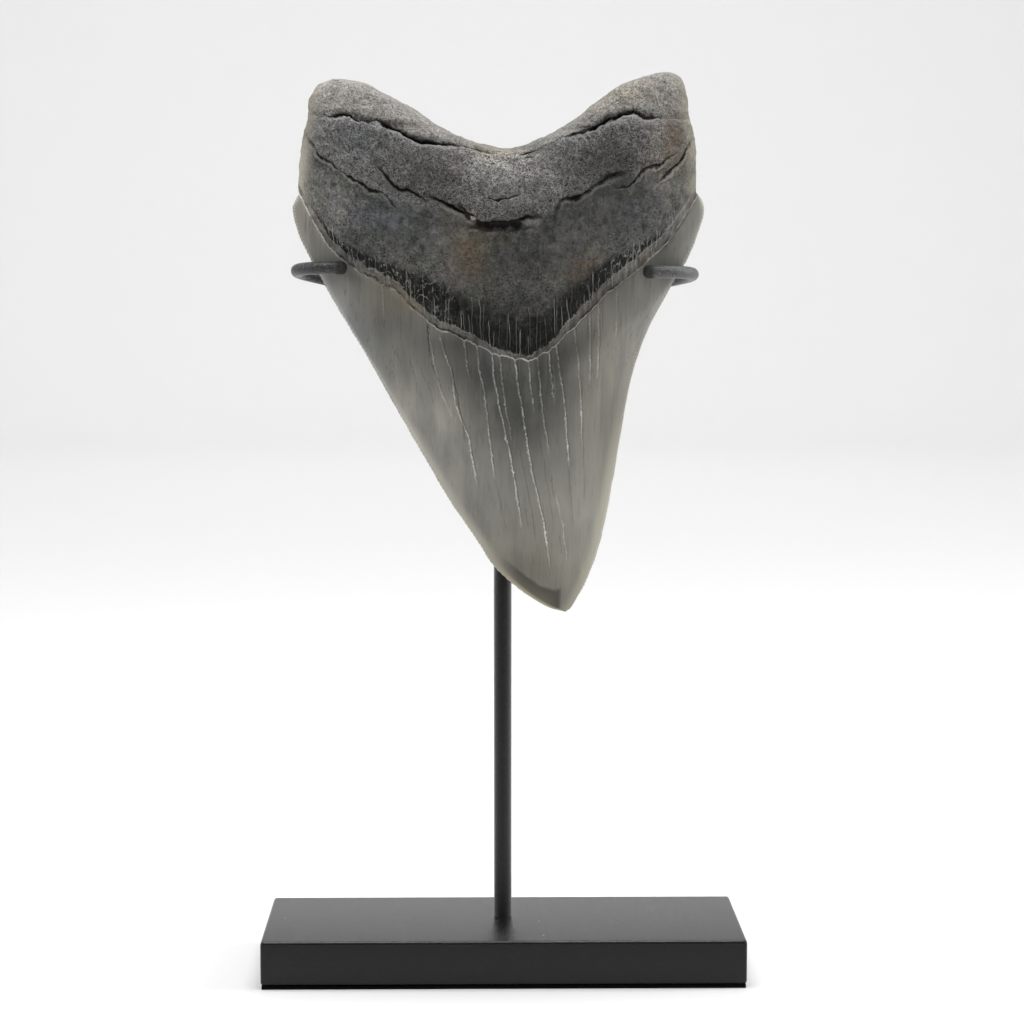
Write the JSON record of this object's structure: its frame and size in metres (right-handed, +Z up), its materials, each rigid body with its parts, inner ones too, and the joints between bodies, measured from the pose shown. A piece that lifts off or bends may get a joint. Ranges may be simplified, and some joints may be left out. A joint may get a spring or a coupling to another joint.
{
  "type": "megalodon tooth on a display stand",
  "caption": "Grey fossil shark tooth held point down by two bent-rod hooks on a slim post and a heavy block base, for display.",
  "frame": {"origin": "middle of the surface that the stand rests on", "axes": "+X to the right as seen from the front, -Y to the front, where the tooth's bulging face looks, and +Z up"},
  "size_m": [0.127, 0.0508, 0.2377],
  "materials": {
    "fossil": "grey semi-matt enamel with fine light cracks, and a rough dark grey-brown root",
    "powder_coat": "fine-textured matt charcoal powder coat on steel",
    "pad": "matt black sheet"
  },
  "bodies": {
    "root": {"megalodon_tooth": "fossil", "base": "powder_coat", "base_pad": "pad", "post": "powder_coat", "left_arm": "powder_coat", "right_arm": "powder_coat"}
  },
  "joints": []
}
